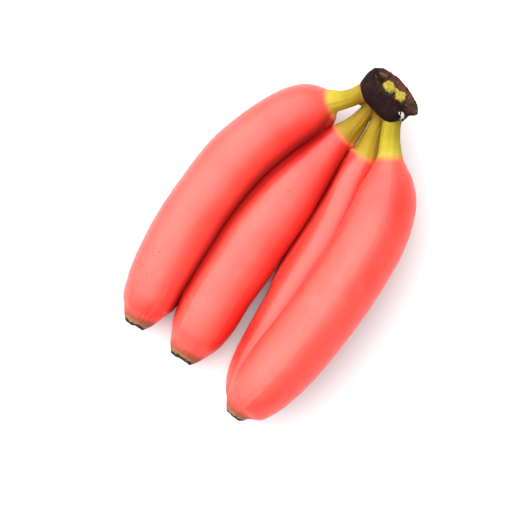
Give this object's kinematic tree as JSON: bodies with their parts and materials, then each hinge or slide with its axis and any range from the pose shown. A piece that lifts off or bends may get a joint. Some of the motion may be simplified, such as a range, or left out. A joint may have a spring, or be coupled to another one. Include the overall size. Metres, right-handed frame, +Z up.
{
  "type": "hand of red bananas",
  "caption": "Hand of curved red bananas with yellow stalks, joined at one dark cut crown and lying on their sides.",
  "frame": {"origin": "on the table, under the middle of the hand's outline", "axes": "+Y from the blossom ends to the cut crown, +X across the hand towards the raised right finger, +Z up from the table"},
  "size_m": [0.127, 0.2005, 0.0556],
  "materials": {
    "red_skin": "satin",
    "crown_skin": "matte"
  },
  "bodies": {
    "root": {"finger_1": "red_skin", "finger_2": "red_skin", "finger_3": "red_skin", "finger_4": "red_skin", "crown": "crown_skin"}
  },
  "joints": []
}
